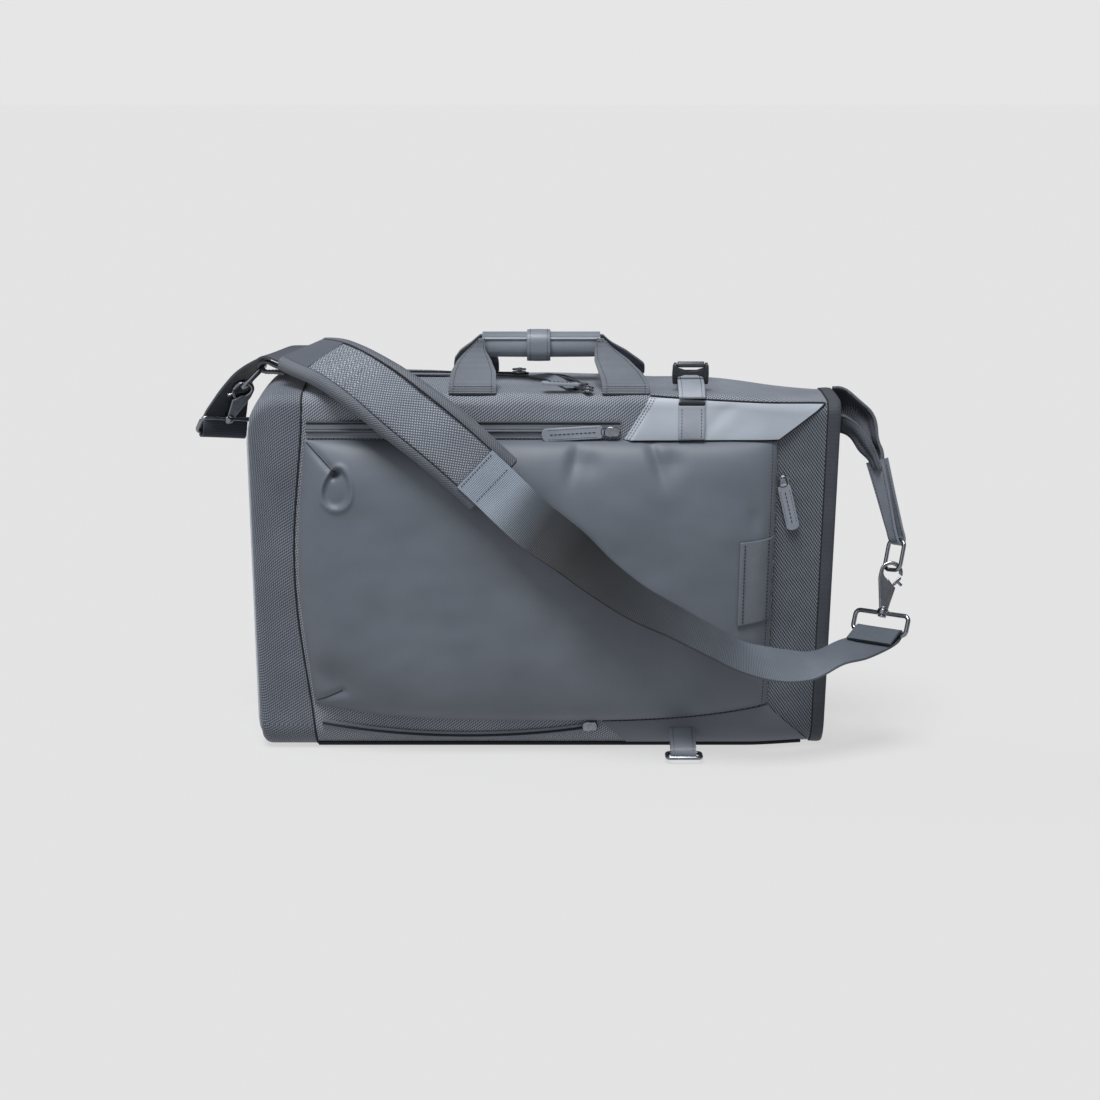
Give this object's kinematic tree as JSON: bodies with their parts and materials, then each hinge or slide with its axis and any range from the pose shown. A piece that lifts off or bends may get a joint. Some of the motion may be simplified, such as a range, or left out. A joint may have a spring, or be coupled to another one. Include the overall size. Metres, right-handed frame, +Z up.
{
  "type": "convertible backpack",
  "caption": "Soft backpack laid on its long side in briefcase fashion, with a front pocket, top handle, closure strap and a padded shoulder strap on swivel snap hooks.",
  "frame": {"origin": "on the ground, under the middle of the body, on the flat underside of the main body", "axes": "+Z up, +X along the bag to its mouth end, front facing -Y"},
  "size_m": [0.5576, 0.2001, 0.3199],
  "materials": {
    "nylon": "slate twill nylon",
    "smooth_fabric": "smooth slate coated fabric",
    "webbing": "slate webbing",
    "leather": "slate grey matte leather",
    "mesh": "slate spacer mesh",
    "zip_tape": "dark zip tape",
    "metal": "gunmetal plated"
  },
  "bodies": {
    "root": {"base_cap": "nylon", "main_body": "nylon", "mouth_binding": "webbing", "mouth_end": "nylon", "back_panel": "mesh", "front_pocket": "smooth_fabric", "label_patch": "leather", "upper_facing": "smooth_fabric", "lower_facing": "smooth_fabric", "roll_ear": "nylon", "front_zip": "zip_tape", "lower_zip": "zip_tape", "top_zip": "zip_tape", "top_tape_front": "zip_tape", "top_tape_rear": "zip_tape", "front_slider": "metal", "front_puller": "leather", "lower_slider": "metal", "side_slider": "metal", "side_puller": "leather", "top_slider_a": "metal", "top_slider_b": "metal", "top_puller": "leather", "handle_grip": "nylon", "handle_keeper": "leather", "handle_leg_front_left": "webbing", "handle_leg_front_right": "webbing", "handle_leg_rear_left": "webbing", "handle_leg_rear_right": "webbing", "closure_strap": "leather", "closure_facing": "leather", "buckle": "metal", "lower_tab": "leather", "lower_ring": "metal", "right_tab": "leather", "right_link": "metal", "right_square_ring": "metal", "left_tab": "leather", "left_link": "metal", "left_square_ring": "metal", "strap_front": "webbing", "shoulder_pad": "mesh", "strap_rear": "webbing"},
    "right_hook": {"right_hook": "metal"},
    "right_gate": {"right_gate": "metal"},
    "left_hook": {"left_hook": "metal"},
    "left_gate": {"left_gate": "metal"}
  },
  "joints": [
    {"name": "right_swivel", "type": "hinge", "parent": "root", "child": "right_hook", "pos_m": [0.26443, -0.04752, 0.10947], "axis": [0.221, 0.3114, 0.9242], "range_deg": [-8, 20]},
    {"name": "right_gate_hinge", "type": "hinge", "parent": "right_hook", "child": "right_gate", "pos_m": [0.27282, -0.04141, 0.12759], "axis": [0, 0.9476, -0.3193], "range_deg": [-20, 0], "stiffness_Nm_per_rad": 0.001},
    {"name": "left_swivel", "type": "hinge", "parent": "root", "child": "left_hook", "pos_m": [-0.24763, 0.03642, 0.24773], "axis": [0.4179, -0.4378, 0.796], "range_deg": [-20, 3]},
    {"name": "left_gate_hinge", "type": "hinge", "parent": "left_hook", "child": "left_gate", "pos_m": [-0.24242, 0.02546, 0.26472], "axis": [0.3245, -0.7465, -0.5809], "range_deg": [-20, 0], "stiffness_Nm_per_rad": 0.001}
  ]
}
